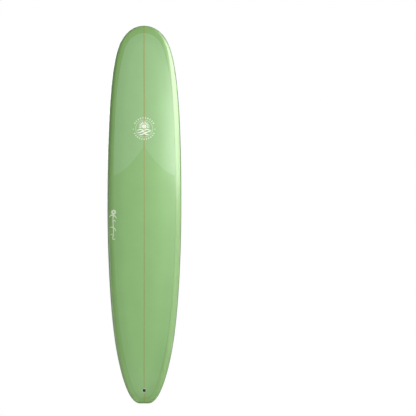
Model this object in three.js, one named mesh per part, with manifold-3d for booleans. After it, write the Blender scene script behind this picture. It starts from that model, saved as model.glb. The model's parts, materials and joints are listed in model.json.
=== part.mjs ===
// A nine-foot-six longboard surfboard, taken apart: a foam blank split by a wooden stringer,
// two glass laminations that lap round the rails, a tail patch on each side, a long fin box,
// a leash plug, and the printed papers that lie under the glass.
//
// Millimetres. The board stands nose up: +Z runs along the stringer to the nose, +X is across
// the board, and the deck faces -Y. The origin lies on the stringer line at half length, on the
// flat of the bottom, where a board builder lays a straight edge to measure rocker.

import * as THREE from "three";
import { mergeVertices } from "three/addons/utils/BufferGeometryUtils.js";
import Module from "manifold-3d";

const wasm = await Module();
wasm.setup();

// ---------------------------------------------------------------- driving dimensions

const LENGTH = 2896;
const WIDTH = 570;
const HALF = LENGTH / 2;
const HALF_WIDTH = WIDTH / 2;

const THICKNESS = 76; // at the middle of the board
const NOSE_TIP = 17; // thickness at the nose
const TAIL_TIP = 28; // thickness at the tail block
const NOSE_FOIL = 3.5; // higher keeps the board thick for longer towards the nose
const TAIL_FOIL = 4.5;
const CROWN = 0.27; // share of the thickness that the domed deck has lost at full width

const FLAT = 250; // the rocker is zero this far each way from the middle
const NOSE_ROCKER = 110;
const TAIL_ROCKER = 66;
const NOSE_CURVE = 2.4; // exponent of the nose's lift, steeper towards the tip
const TAIL_CURVE = 2;

const APEX = 0.48; // height of the rail's widest line, as a share of the rail
const DECK_RUN = 40; // how far in from the edge the deck side of the rail rolls
const BOTTOM_RUN = 30;
const DECK_ROLL = 1.5; // the same, as a multiple of the roll's rise where the board is thin
const BOTTOM_ROLL = 1.15;

const GLASS = 0.7; // one lamination
const GAP = 0.3; // glue line left between neighbours
const LAYER = GLASS + GAP;
const LAP = 45; // how far each lamination laps onto the other face
const JOGGLE = 1.1; // the bottom glass steps under the deck's lap over this distance
const PAPER = 0.25;
const PAPER_DEPTH = 0.45; // glass over a printed paper
const REBATE = 0.4; // foam relieved beyond a lap's edge

const STRINGER = 6;

const TAIL_TO = (distance) => distance - HALF; // a height given as a distance from the tail

// ---------------------------------------------------------------- outline and surfaces

// The right half of the outline, from the nose's centre to the tail's.
const at = (x, z) => new THREE.Vector2(x, z);
const noseEnd = at(196, 1286);
const widest = at(HALF_WIDTH, 83);
const hip = at(207, -1080);
const tailCorner = at(36.5, -HALF);
const nose = new THREE.CubicBezierCurve(at(0, HALF), at(41, HALF), at(142, 1432), noseEnd);
const front = new THREE.CubicBezierCurve(noseEnd, at(260, 1114), at(HALF_WIDTH, 707), widest);
const back = new THREE.CubicBezierCurve(widest, at(HALF_WIDTH, -384), at(257, -833), hip);
const tail = new THREE.CubicBezierCurve(hip, at(173, -1248), at(118.5, -1441), tailCorner);
const block = new THREE.LineCurve(tailCorner, at(0, -HALF));

const CORNER = 5; // outline steps from the centre of the nose or tail to the grid's corner
const SIDE = 18; // outline steps down each side, between the corners

// A stretch of one curve as outline spots, each with its inward direction.
function spots(curve, from, to, count) {
  return Array.from({ length: count }, (_, i) => {
    const t = from + ((to - from) * i) / count;
    const point = curve.getPoint(t);
    const along = curve.getTangent(t);
    return { x: point.x, z: point.y, inX: along.y, inZ: -along.x };
  });
}

const NOSE_CORNER = 0.78; // where the nose's curve has turned half way
const TAIL_CORNER = 0.6;
const rightHalf = [
  ...spots(nose, 0, NOSE_CORNER, CORNER),
  ...spots(nose, NOSE_CORNER, 1, 2),
  ...spots(front, 0, 1, 6),
  ...spots(back, 0, 1, 6),
  ...spots(tail, 0, TAIL_CORNER, 4),
  ...spots(tail, TAIL_CORNER, 1, CORNER - 1),
  ...spots(block, 0, 1, 1),
  { x: 0, z: -HALF, inX: 0, inZ: 1 },
];
const leftHalf = rightHalf
  .slice(1, -1)
  .reverse()
  .map((spot) => ({ ...spot, x: -spot.x, inX: -spot.inX }));
const outline = [...rightHalf, ...leftHalf];

const lift = (z, height, curve) =>
  height * Math.pow(Math.max(0, Math.abs(z) - FLAT) / (HALF - FLAT), curve);
const rocker = (z) =>
  z > 0 ? lift(z, NOSE_ROCKER, NOSE_CURVE) : lift(z, TAIL_ROCKER, TAIL_CURVE);

function thickness(z) {
  const [tip, foil] = z > 0 ? [NOSE_TIP, NOSE_FOIL] : [TAIL_TIP, TAIL_FOIL];
  return tip + (THICKNESS - tip) * (1 - Math.pow(Math.min(1, Math.abs(z) / HALF), foil));
}

const bottomY = (x, z) => -rocker(z);
const deckY = (x, z) =>
  -rocker(z) - thickness(z) * (1 - CROWN * Math.pow(x / HALF_WIDTH, 2));

const faces = {
  deck: { y: deckY, out: -1, run: DECK_RUN, roll: DECK_ROLL },
  bottom: { y: bottomY, out: 1, run: BOTTOM_RUN, roll: BOTTOM_ROLL },
};

// A point on a face, moved in along the face's normal.
function facePoint(face, x, z, inset) {
  const { y, out } = faces[face];
  const step = 1;
  const slopeX = (y(x + step, z) - y(x - step, z)) / (2 * step);
  const slopeZ = (y(x, z + step) - y(x, z - step)) / (2 * step);
  const normal = new THREE.Vector3(-slopeX, 1, -slopeZ).normalize().multiplyScalar(out);
  return new THREE.Vector3(x, y(x, z), z).addScaledVector(normal, -inset);
}

// The rings that run round the board, from the inner edge of the deck's band over the rail to
// the inner edge of the bottom's. A ring's turn is 90 degrees where the rail meets the face.
const RINGS = [
  { face: "deck", lap: true },
  { face: "deck", turn: 90 },
  { face: "deck", turn: 58 },
  { face: "deck", turn: 28 },
  { face: "deck", turn: 0 },
  { face: "bottom", turn: 32 },
  { face: "bottom", turn: 60 },
  { face: "bottom", turn: 90 },
  { face: "bottom", lap: true },
];
const LAST_RING = RINGS.length - 1;

// The point of one ring at one outline spot, at a depth inside the board's skin.
function ringPoint(spot, ring, inset, shift) {
  const { face, lap, turn } = RINGS[ring];
  if (lap) {
    const d = LAP + shift;
    return facePoint(face, spot.x + spot.inX * d, spot.z + spot.inZ * d, inset);
  }
  const { y, out, run, roll } = faces[face];
  const apexY = THREE.MathUtils.lerp(bottomY(spot.x, spot.z), deckY(spot.x, spot.z), APEX);
  const rise = Math.abs(y(spot.x, spot.z) - apexY);
  const reach = Math.min(run, roll * rise);
  const angle = THREE.MathUtils.degToRad(turn);
  const d = reach * (1 - Math.cos(angle));
  const x = spot.x + spot.inX * d;
  const z = spot.z + spot.inZ * d;
  const outwards = Math.cos(angle) / reach;
  const normal = new THREE.Vector3(
    -spot.inX * outwards,
    (out * Math.sin(angle)) / rise,
    -spot.inZ * outwards,
  ).normalize();
  const point = new THREE.Vector3(x, apexY + (y(x, z) - apexY) * Math.sin(angle), z);
  return point.addScaledVector(normal, -inset);
}

// ---------------------------------------------------------------- layers on the outline's grid

const COLUMNS = 2 * CORNER;

// The ring index of a spot on the edge of the grid that fills a face: row 0 is at the nose.
function edgeSpot(row, column) {
  if (row === 0) return (column - CORNER + outline.length) % outline.length;
  if (row === SIDE) return CORNER + SIDE + COLUMNS - column;
  return column === 0 ? outline.length - CORNER - row : CORNER + row;
}

// A closed layer. Its stages are rings from one face's grid to another's: each is
// [ring, inset, shift], and the first and the last are filled across by a grid.
function layer(...stages) {
  const points = [];
  const triangles = [];
  const quad = (a, b, c, d) => triangles.push([a, b, c], [a, c, d]);
  const rings = stages.map(([ring, inset, shift = 0]) =>
    outline.map((spot) => points.push(ringPoint(spot, ring, inset, shift)) - 1),
  );

  // Every layer splits a quad along the same diagonal, so that neighbours keep their gap.
  rings.slice(1).forEach((next, i) => {
    const forwards = stages[i + 1][0] >= stages[i][0];
    rings[i].forEach((a, k) => {
      const after = (k + 1) % outline.length;
      const [b, c, d] = [next[k], next[after], rings[i][after]];
      if (forwards) quad(a, b, c, d);
      else quad(b, c, d, a);
    });
  });

  const fill = (ring, [stage, inset], start) => {
    const corner = (row, column) => points[ring[edgeSpot(row, column)]];
    const grid = Array.from({ length: SIDE + 1 }, (_, row) =>
      Array.from({ length: COLUMNS + 1 }, (_, column) => {
        const onEdge = row % SIDE === 0 || column % COLUMNS === 0;
        if (onEdge) return ring[edgeSpot(row, column)];
        const v = row / SIDE;
        const u = column / COLUMNS;
        const left = corner(row, 0);
        const right = corner(row, COLUMNS);
        const x = THREE.MathUtils.lerp(left.x, right.x, u);
        const noseBow = corner(0, column).z - corner(0, 0).z;
        const tailBow = corner(SIDE, column).z - corner(SIDE, 0).z;
        const z = left.z + noseBow * Math.pow(1 - v, 3) + tailBow * Math.pow(v, 3);
        return points.push(facePoint(RINGS[stage].face, x, z, inset)) - 1;
      }),
    );
    for (let row = 0; row < SIDE; row++) {
      for (let column = 0; column < COLUMNS; column++) {
        const [a, b] = [grid[row][column], grid[row][column + 1]];
        const [c, d] = [grid[row + 1][column + 1], grid[row + 1][column]];
        if (start) quad(a, b, c, d);
        else quad(a, d, c, b);
      }
    }
  };
  fill(rings[0], stages[0], true);
  fill(rings.at(-1), stages.at(-1), false);
  return solid(points.flatMap((p) => p.toArray()), triangles.flat());
}

function solid(positions, indices) {
  const triVerts = new Uint32Array(indices);
  const vertProperties = new Float32Array(positions);
  const made = new wasm.Manifold(new wasm.Mesh({ numProp: 3, vertProperties, triVerts }));
  if (made.volume() > 0) return made;
  triVerts.reverse();
  return new wasm.Manifold(new wasm.Mesh({ numProp: 3, vertProperties, triVerts }));
}

function solidOf(geometry) {
  const bare = geometry.index ? geometry.toNonIndexed() : geometry;
  bare.deleteAttribute("normal");
  bare.deleteAttribute("uv");
  const merged = mergeVertices(bare, 1e-3);
  return solid(merged.attributes.position.array, merged.index.array);
}

// All the rings between two, in order, at one inset.
const rail = (from, to, inset) => {
  const step = Math.sign(to - from);
  return Array.from({ length: Math.abs(to - from) + 1 }, (_, i) => [from + i * step, inset]);
};

// A slab that follows one face and its rail, between two insets.
function slab(face, outer, inner, shift = null) {
  if (shift !== null) {
    const ring = face === "deck" ? 0 : LAST_RING;
    return layer([ring, outer, shift], [ring, inner, shift]);
  }
  const [lap, turn] = face === "deck" ? [0, 3] : [LAST_RING, 5];
  return layer(...rail(lap, turn, outer), ...rail(turn, lap, inner));
}

// ---------------------------------------------------------------- flat shapes along Y

const DEEP = 400;

// A shape drawn across (x) and along (z) the board, pushed right through it.
function through(shape) {
  const curveSegments = shape.curves.length > 1 ? 3 : 10;
  const geometry = new THREE.ExtrudeGeometry(shape, {
    depth: DEEP,
    bevelEnabled: false,
    curveSegments,
  });
  return solidOf(geometry.rotateX(Math.PI / 2).translate(0, DEEP / 2, 0));
}

function roundedRectangle(width, height, radius, x = 0, z = 0) {
  const [w, h] = [width / 2, height / 2];
  const shape = new THREE.Shape();
  shape.absarc(x + w - radius, z + h - radius, radius, 0, Math.PI / 2);
  shape.absarc(x - w + radius, z + h - radius, radius, Math.PI / 2, Math.PI);
  shape.absarc(x - w + radius, z - h + radius, radius, Math.PI, 1.5 * Math.PI);
  shape.absarc(x + w - radius, z - h + radius, radius, 1.5 * Math.PI, 2 * Math.PI);
  shape.closePath();
  return shape;
}

function ellipse(radiusX, radiusZ, x, z) {
  const shape = new THREE.Shape();
  shape.absellipse(x, z, radiusX, radiusZ, 0, 2 * Math.PI);
  return shape;
}

// The deck patch: a pointed arch whose two hollow flanks run out to the laps.
const PATCH_POINT = TAIL_TO(1972);
const PATCH_SHOULDER = TAIL_TO(1748);
const PATCH_REACH = 240;
const PATCH_HOLLOW = 1.55;
function archShape(grow) {
  const height = (x) =>
    PATCH_SHOULDER +
    grow +
    (PATCH_POINT - PATCH_SHOULDER) * Math.pow(1 - Math.abs(x) / PATCH_REACH, PATCH_HOLLOW);
  const across = [1, 0.8, 0.6, 0.42, 0.26, 0.12, 0, -0.12, -0.26, -0.42, -0.6, -0.8, -1];
  const arch = across.map((share) => at(share * PATCH_REACH, height(share * PATCH_REACH)));
  const side = PATCH_SHOULDER + grow;
  return new THREE.Shape([
    at(-WIDTH, side),
    at(-WIDTH, -LENGTH),
    at(WIDTH, -LENGTH),
    at(WIDTH, side),
    ...arch,
  ]);
}

// The fin patch: its front edge is a shallow notch that points at the fin.
const FIN_PATCH_POINT = TAIL_TO(463);
const FIN_PATCH_RISE = 0.58; // per millimetre out from the centre line
function notchShape(grow) {
  const side = FIN_PATCH_POINT + grow + FIN_PATCH_RISE * WIDTH;
  return new THREE.Shape([
    at(-WIDTH, side),
    at(-WIDTH, -LENGTH),
    at(WIDTH, -LENGTH),
    at(WIDTH, side),
    at(0, FIN_PATCH_POINT + grow),
  ]);
}

// ---------------------------------------------------------------- fin box

const FIN_BOX = { width: 27, length: 266.7, radius: 11, depth: 22, z: TAIL_TO(244) };
const FIN_SLOT = { width: 9.6, length: 238, depth: 17.5 };
const FIN_GROOVE = { width: 16, height: 6.4, depth: 6 }; // takes the fin's cross pin
const FIN_GATE = 13; // square way down into the groove for the screw's plate
const FIN_SUNK = 0.8; // the box's flat face lies this far under the curved bottom
const FIN_BED = { width: 48, length: 290, radius: 16, depth: 4 };

const finSlope = (2 * TAIL_ROCKER * (-FIN_BOX.z - FLAT)) / Math.pow(HALF - FLAT, 2);
const finTilt = Math.atan(finSlope);

// A block in the fin box's own frame: y is out of the box, with 0 at its flat face.
function finBlock(shape, top, bottom) {
  const geometry = new THREE.ExtrudeGeometry(shape, {
    depth: top - bottom,
    bevelEnabled: false,
    curveSegments: 3,
  });
  geometry.rotateX(Math.PI / 2).translate(0, top, 0);
  geometry.rotateX(-finTilt);
  geometry.translate(0, bottomY(0, FIN_BOX.z) - FIN_SUNK * Math.cos(finTilt), FIN_BOX.z);
  return solidOf(geometry);
}

// A block of the box's or the bed's outline, grown all round.
function grownBlock({ width, length, radius }, grow, top, bottom) {
  const shape = roundedRectangle(width + 2 * grow, length + 2 * grow, radius + grow);
  return finBlock(shape, top, bottom);
}

const ABOVE = 10; // clear of the surface

function makeFinBox() {
  const slot = roundedRectangle(FIN_SLOT.width, FIN_SLOT.length, FIN_SLOT.width / 2 - 0.1);
  const groove = roundedRectangle(FIN_GROOVE.width, FIN_SLOT.length - 12, 1);
  const gate = roundedRectangle(FIN_GATE, FIN_GATE, 1);
  const { depth, height } = FIN_GROOVE;
  return grownBlock(FIN_BOX, 0, 0, -FIN_BOX.depth)
    .subtract(finBlock(slot, ABOVE, -FIN_SLOT.depth))
    .subtract(finBlock(groove, -depth, -depth - height))
    .subtract(finBlock(gate, ABOVE, -depth - 1));
}

const finPocket = grownBlock(FIN_BOX, GAP, ABOVE, -FIN_BOX.depth - GAP);
const finBedPocket = grownBlock(FIN_BED, GAP, ABOVE, -FIN_BED.depth - GAP);

// ---------------------------------------------------------------- leash plug

const PLUG = { z: TAIL_TO(101), rim: 14.5, rimDepth: 2.2, mouth: 11 };
const PLUG_DEPTH = 17;
const PLUG_BED = { radius: 19, depth: 4 };
const PLUG_PIN = { radius: 2, length: 25, depth: 6 };
const PLUG_SUNK = 0.2;
const plugY = deckY(0, PLUG.z) + PLUG_SUNK;

// A turned piece in the plug's place: its profile is [radius, depth under the rim].
function turned(profile, segments = 20) {
  const points = profile.map(([radius, depth]) => at(radius, -depth));
  const geometry = new THREE.LatheGeometry(points, segments);
  return solidOf(geometry.rotateX(Math.PI).translate(0, plugY, PLUG.z));
}

const plugBody = (grow, top) =>
  turned([
    [0, PLUG_DEPTH + grow],
    [7 + grow, PLUG_DEPTH + grow],
    [11 + grow, 12 + grow],
    [13 + grow, 6],
    [13 + grow, PLUG.rimDepth + grow],
    [PLUG.rim + grow, PLUG.rimDepth + grow],
    [PLUG.rim + grow, top],
    [0, top],
  ]);
const plugBowl = turned([
  [0, 14.5],
  [5, 14.5],
  [9, 11],
  [PLUG.mouth, 5],
  [PLUG.mouth, 0.6],
  [PLUG.mouth + 0.6, -1],
  [0, -1],
]);
const plugBed = (grow, top) =>
  turned([
    [0, PLUG_BED.depth + grow],
    [PLUG_BED.radius + grow, PLUG_BED.depth + grow],
    [PLUG_BED.radius + grow, top],
    [0, top],
  ]);

function pinRod(grow) {
  const radius = PLUG_PIN.radius + grow;
  const geometry = new THREE.CylinderGeometry(radius, radius, PLUG_PIN.length + 2 * grow, 12);
  geometry.rotateZ(Math.PI / 2).translate(0, plugY + PLUG_PIN.depth, PLUG.z);
  return solidOf(geometry);
}

const plugPocket = plugBody(GAP, -ABOVE);
const plugBedPocket = plugBed(GAP, -ABOVE);

// ---------------------------------------------------------------- printed papers

const EMBLEM = { radius: 84, z: TAIL_TO(2110) };
const BADGE = { radiusX: 53, radiusZ: 31, z: TAIL_TO(856) };
const SPRIG = { width: 50, height: 234, x: -235, z: TAIL_TO(1370) };
const LEAF_MARK = { width: 46, height: 62, z: TAIL_TO(655) };
const SIZE_LABEL = { width: 27, height: 91, x: 4, z: TAIL_TO(564) };

const papers = [
  { name: "deck_emblem", face: "deck", shape: (g) => disc(EMBLEM.radius + g, EMBLEM.z) },
  { name: "bottom_emblem", face: "bottom", shape: (g) => disc(EMBLEM.radius + g, EMBLEM.z) },
  { name: "rail_sprig", face: "deck", shape: (g) => card(SPRIG, 20, g) },
  {
    name: "bottom_badge",
    face: "bottom",
    shape: (g) => ellipse(BADGE.radiusX + g, BADGE.radiusZ + g, 0, BADGE.z),
  },
  { name: "leaf_mark", face: "bottom", shape: (g) => card(LEAF_MARK, 18, g) },
  { name: "size_label", face: "bottom", shape: (g) => card(SIZE_LABEL, 13, g) },
];

function disc(radius, z) {
  return ellipse(radius, radius, 0, z);
}

function card({ width, height, x = 0, z }, radius, grow) {
  return roundedRectangle(width + 2 * grow, height + 2 * grow, radius + grow, x, z);
}

// ---------------------------------------------------------------- pieces

const skin = layer(...rail(0, LAST_RING, 0));
const cutAll = (piece, tools) => tools.reduce((left, tool) => left.subtract(tool), piece);

// The blank's own shape: full height inside the laps, and a glass layer lower under them.
const blank = layer(
  [0, LAYER, REBATE],
  [0, 2 * LAYER, REBATE],
  ...rail(1, LAST_RING - 1, 2 * LAYER),
  [LAST_RING, 2 * LAYER, JOGGLE + REBATE],
  [LAST_RING, LAYER, JOGGLE + REBATE],
);

const archPocket = slab("deck", 0, 2 * LAYER + 0.05, REBATE - 3).intersect(
  through(archShape(GAP)),
);
const notchPocket = slab("bottom", 0, 2 * LAYER + 0.05, REBATE - 3).intersect(
  through(notchShape(GAP)),
);
const trenches = [archPocket, notchPocket, finPocket, finBedPocket, plugPocket, plugBedPocket];
const routedBlank = cutAll(blank, trenches);

function box(width, x) {
  const geometry = new THREE.BoxGeometry(width, DEEP, 2 * LENGTH);
  return solidOf(geometry.translate(x, 0, 0));
}

const coreInside = STRINGER / 2 + GAP;
const stringer = routedBlank.intersect(box(STRINGER, 0));
const coreLeft = routedBlank.intersect(box(WIDTH, -coreInside - HALF_WIDTH));
const coreRight = routedBlank.intersect(box(WIDTH, coreInside + HALF_WIDTH));

// Deck glass: over the deck, round the rails and onto the bottom.
const deckGlass = layer(...rail(0, LAST_RING, 0), ...rail(LAST_RING, 0, GLASS));

// Bottom glass: over the bottom, under the deck's lap, round the rails and onto the deck.
const bottomGlass = layer(
  [LAST_RING, 0, REBATE],
  [LAST_RING, LAYER, REBATE],
  ...rail(LAST_RING - 1, 0, LAYER),
  ...rail(0, LAST_RING - 1, LAYER + GLASS),
  [LAST_RING, LAYER + GLASS, JOGGLE],
  [LAST_RING, GLASS, JOGGLE],
);

const deckPatch = slab("deck", LAYER, LAYER + GLASS, 2 * REBATE)
  .intersect(through(archShape(0)))
  .subtract(plugBedPocket);
const finPatch = slab("bottom", LAYER, LAYER + GLASS, JOGGLE + REBATE)
  .intersect(through(notchShape(0)))
  .subtract(finBedPocket);

const paperSlab = (face) => slab(face, PAPER_DEPTH, PAPER_DEPTH + PAPER);
const paperRoom = (face) => slab(face, PAPER_DEPTH - PAPER, GLASS + GAP / 2);
const room = { deck: paperRoom("deck"), bottom: paperRoom("bottom") };
const sheet = { deck: paperSlab("deck"), bottom: paperSlab("bottom") };
const roomsIn = (face) =>
  papers
    .filter((paper) => paper.face === face)
    .map((paper) => room[face].intersect(through(paper.shape(GAP))));

const finBed = grownBlock(FIN_BED, 0, ABOVE, -FIN_BED.depth).intersect(skin).subtract(finPocket);
const plugBedRing = plugBed(0, -ABOVE).intersect(skin).subtract(plugPocket);

const pieces = {
  foam_core_left: coreLeft,
  foam_core_right: coreRight,
  stringer,
  bottom_lamination: cutAll(bottomGlass, [finBedPocket, plugBedPocket, ...roomsIn("bottom")]),
  deck_lamination: cutAll(deckGlass, [plugBedPocket, ...roomsIn("deck")]),
  deck_patch: deckPatch,
  fin_patch: finPatch,
  fin_box: makeFinBox(),
  fin_box_bed: finBed,
  leash_plug_cup: plugBody(0, 0).subtract(plugBowl).subtract(pinRod(0.2)),
  leash_plug_pin: pinRod(0),
  leash_plug_bed: plugBedRing,
  ...Object.fromEntries(
    papers.map(({ name, face, shape }) => [name, sheet[face].intersect(through(shape(0)))]),
  ),
};

// ---------------------------------------------------------------- materials and scene

const finish = (color, roughness, metalness = 0) => ({ color, roughness, metalness });
const foam = finish(0xeeeadb, 0.9);
const paper = finish(0xf2f1ea, 0.5);
const looks = {
  foam_core_left: foam,
  foam_core_right: foam,
  stringer: finish(0xb08d57, 0.6),
  bottom_lamination: finish(0x86b56e, 0.25),
  deck_lamination: finish(0x93be7e, 0.25),
  deck_patch: finish(0x7fae68, 0.4),
  fin_patch: finish(0x78a562, 0.4),
  fin_box: finish(0x0b0b0c, 0.45),
  fin_box_bed: finish(0x9cc784, 0.3),
  leash_plug_cup: finish(0xc9cbc6, 0.4),
  leash_plug_pin: finish(0xb9bcc0, 0.25, 1),
  leash_plug_bed: finish(0x9cc784, 0.3),
  bottom_badge: finish(0x6f9f5f, 0.5),
  leaf_mark: finish(0x6c7258, 0.5),
};

const board = new THREE.Group();
for (const [name, piece] of Object.entries(pieces)) {
  const { numProp, vertProperties, triVerts } = piece.getMesh();
  const geometry = new THREE.BufferGeometry();
  geometry.setAttribute("position", new THREE.BufferAttribute(vertProperties, numProp));
  geometry.setIndex(new THREE.BufferAttribute(triVerts, 1));
  const mesh = new THREE.Mesh(geometry, new THREE.MeshStandardMaterial(looks[name] ?? paper));
  mesh.name = name;
  board.add(mesh);
}

export default board;
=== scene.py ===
# %% [markdown]
# # A longboard surfboard
#
# A nine-foot-six longboard stands nose up. Under its gloss lie a foam blank, a wooden stringer
# and two layers of glass cloth set in green resin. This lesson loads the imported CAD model,
# which fixes where everything is, and builds the smooth, finished pieces around it.

import json
import math

import bmesh
import bpy
import numpy as np
from mathutils import Matrix, Vector

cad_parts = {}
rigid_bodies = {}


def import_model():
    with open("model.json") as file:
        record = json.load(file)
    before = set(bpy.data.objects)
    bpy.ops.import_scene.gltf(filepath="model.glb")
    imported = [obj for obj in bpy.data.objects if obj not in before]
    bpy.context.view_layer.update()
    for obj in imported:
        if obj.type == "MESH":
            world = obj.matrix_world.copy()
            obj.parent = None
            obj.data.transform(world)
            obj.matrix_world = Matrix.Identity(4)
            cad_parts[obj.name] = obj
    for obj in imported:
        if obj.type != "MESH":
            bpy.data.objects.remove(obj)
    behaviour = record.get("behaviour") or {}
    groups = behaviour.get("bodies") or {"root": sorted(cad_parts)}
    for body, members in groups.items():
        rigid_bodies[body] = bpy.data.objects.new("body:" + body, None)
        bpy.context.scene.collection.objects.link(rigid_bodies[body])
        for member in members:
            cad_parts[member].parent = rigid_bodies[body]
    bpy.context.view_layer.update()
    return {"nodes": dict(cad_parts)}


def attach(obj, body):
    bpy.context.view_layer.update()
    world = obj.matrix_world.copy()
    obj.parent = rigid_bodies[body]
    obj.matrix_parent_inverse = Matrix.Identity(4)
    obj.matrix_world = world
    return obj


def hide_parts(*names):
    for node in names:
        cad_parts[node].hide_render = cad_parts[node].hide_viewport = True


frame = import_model()
MM = 0.001

# %% [markdown]
# ## Numbers that the shaper would write on the blank
#
# The board's length runs along Z, its width along X, and the deck faces -Y. A surfboard is
# described by its outline, by its rocker, which is the bend seen from the side, and by its
# foil, which is how the thickness tapers. Plain functions hold all three, so that every piece
# that lies on the board can ask where the surface is.

# %% Rocker, foil and the two faces
LENGTH, WIDTH = 2.896, 0.570
HALF, HALF_WIDTH = LENGTH / 2, WIDTH / 2
THICK, NOSE_TIP, TAIL_TIP = 0.076, 0.017, 0.028
NOSE_FOIL, TAIL_FOIL = 3.5, 4.5
CROWN = 0.27
FLAT, NOSE_ROCKER, TAIL_ROCKER = 0.250, 0.110, 0.066
NOSE_CURVE, TAIL_CURVE = 2.4, 2.0


def rocker(z):
    """How far the board has bent towards the deck at a height."""
    over = np.maximum(np.abs(z) - FLAT, 0) / (HALF - FLAT)
    return np.where(z > 0, NOSE_ROCKER * over**NOSE_CURVE, TAIL_ROCKER * over**TAIL_CURVE)


def thickness(z):
    share = np.minimum(np.abs(z) / HALF, 1)
    nose = NOSE_TIP + (THICK - NOSE_TIP) * (1 - share**NOSE_FOIL)
    tail = TAIL_TIP + (THICK - TAIL_TIP) * (1 - share**TAIL_FOIL)
    return np.where(z > 0, nose, tail)


def face_y(face, x, z):
    """Where a face lies, as far as its flat goes, before the rail rolls away."""
    if face == "bottom":
        return -rocker(z)
    return -rocker(z) - thickness(z) * (1 - CROWN * (x / HALF_WIDTH) ** 2)


print("thickness at nose, middle, tail:", [round(float(thickness(z)), 4) for z in (1.4, 0, -1.4)])

# %% [markdown]
# ## The outline
#
# The template is four curves down one side, from the nose to the square of the tail. Spots are
# set out along it, closer together where it turns, and each spot knows which way is inwards.
# The same spots serve both faces, so their edges meet exactly.

# %% Spots along the outline
WIDE_Z, SHOULDER, HIP = 0.083, (0.196, 1.286), (0.207, -1.080)
TEMPLATE = {
    "nose": [(0, HALF), (0.041, HALF), (0.142, 1.432), SHOULDER],
    "front": [SHOULDER, (0.260, 1.114), (HALF_WIDTH, 0.707), (HALF_WIDTH, WIDE_Z)],
    "back": [(HALF_WIDTH, WIDE_Z), (HALF_WIDTH, -0.384), (0.257, -0.833), HIP],
    "tail": [HIP, (0.173, -1.248), (0.1185, -1.441), (0.0365, -HALF)],
}
NOSE_TURN, TAIL_TURN, CORNER = 0.78, 0.6, 10
RUNS = [("nose", 0, NOSE_TURN, CORNER), ("nose", NOSE_TURN, 1, 5), ("front", 0, 1, 26)]
RUNS += [("back", 0, 1, 24), ("tail", 0, TAIL_TURN, 9), ("tail", TAIL_TURN, 1, CORNER - 2)]


def curve_spots(name, start, stop, count):
    """Spots on one curve of the template: x, z and the inward direction."""
    a, b, c, d = (np.array(p, float) for p in TEMPLATE[name])
    t = (start + (stop - start) * np.arange(count) / count)[:, None]
    point = a * (1 - t) ** 3 + 3 * b * t * (1 - t) ** 2 + 3 * c * t**2 * (1 - t) + d * t**3
    along = (b - a) * (1 - t) ** 2 + 2 * (c - b) * t * (1 - t) + (d - c) * t**2
    along /= np.linalg.norm(along, axis=1)[:, None]
    return np.hstack([point, along[:, 1:], -along[:, :1]])


block_edge = TEMPLATE["tail"][-1][0]
block = np.array([[x, -HALF, 0, 1] for x in (block_edge, block_edge / 2, 0)], float)
right_side = np.vstack([*(curve_spots(*run) for run in RUNS), block])
left_side = right_side[1:-1][::-1] * np.array([-1, 1, -1, 1])
outline = np.vstack([right_side, left_side])
SPOTS, COLUMNS = len(outline), 2 * CORNER
SIDE = len(right_side) - 1 - COLUMNS
print("spots:", SPOTS, "rows down a side:", SIDE, "widest:", round(outline[:, 0].max() * 2, 3))

# %% [markdown]
# ## Laps
#
# Glass cloth is wrapped round the rail and cut off on the far face, which leaves a band of
# double cloth round each face. Hand cutting makes the band a little wider at the nose and
# beside the tail. Its width is set at a few places down the side and eased in between.

# %% Width of the lap at every spot
gaps = np.linalg.norm(np.diff(outline[:, :2], axis=0, append=outline[:1, :2]), axis=1)
travel = np.concatenate([[0], np.cumsum(gaps)[:-1]])
round_trip = gaps.sum()
down = np.minimum(travel, round_trip - travel)
LAP_AT = [0, 0.12, 0.22, 0.30, 0.40, 0.52, 1.2, 2.1, 2.65, 2.88, 3.02, round_trip / 2]
LAP_WIDTH = [0.054, 0.051, 0.047, 0.050, 0.050, 0.046, 0.0455, 0.047, 0.052, 0.052, 0.046, 0.043]
lap = np.interp(down, LAP_AT, LAP_WIDTH)
for _ in range(6):
    lap = (np.roll(lap, 1) + 2 * lap + np.roll(lap, -1)) / 4
print("round the outline:", round(round_trip, 3), "lap from", lap.min().round(4), "to", lap.max().round(4))

# %% [markdown]
# ## A surface point anywhere on the board
#
# A rail is an ellipse between the widest line and the place where it meets the face. Given how
# far in from the outline a point is, its height on that ellipse follows. Normals come from
# neighbouring points, and they give each layer of glass its own depth.

# %% Points on the rail and the faces
APEX = 0.48
RUN = {"deck": 0.040, "bottom": 0.030}
ROLL = {"deck": 1.5, "bottom": 1.15}
OUT = {"deck": -1, "bottom": 1}


def rail_spot(face):
    """For every spot: the height of the widest line, and the roll's rise and reach."""
    x, z = outline[:, 0], outline[:, 1]
    apex = face_y("bottom", x, z) * (1 - APEX) + face_y("deck", x, z) * APEX
    rise = np.abs(face_y(face, x, z) - apex)
    return apex, rise, np.minimum(RUN[face], ROLL[face] * rise)


def rail_ring(face, turn, inset):
    """A ring of points on the rail. Turn is 0 degrees at the widest line, 90 at the face."""
    apex, rise, reach = rail_spot(face)
    turn = math.radians(turn)
    step = reach * (1 - math.cos(turn))
    x, z = outline[:, 0] + outline[:, 2] * step, outline[:, 1] + outline[:, 3] * step
    y = apex + (face_y(face, x, z) - apex) * math.sin(turn)
    away = math.cos(turn) / reach
    up = OUT[face] * math.sin(turn) / rise
    normal = np.stack([-outline[:, 2] * away, up, -outline[:, 3] * away], axis=1)
    normal /= np.linalg.norm(normal, axis=1)[:, None]
    return np.stack([x, y, z], axis=1) - normal * inset


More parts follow.
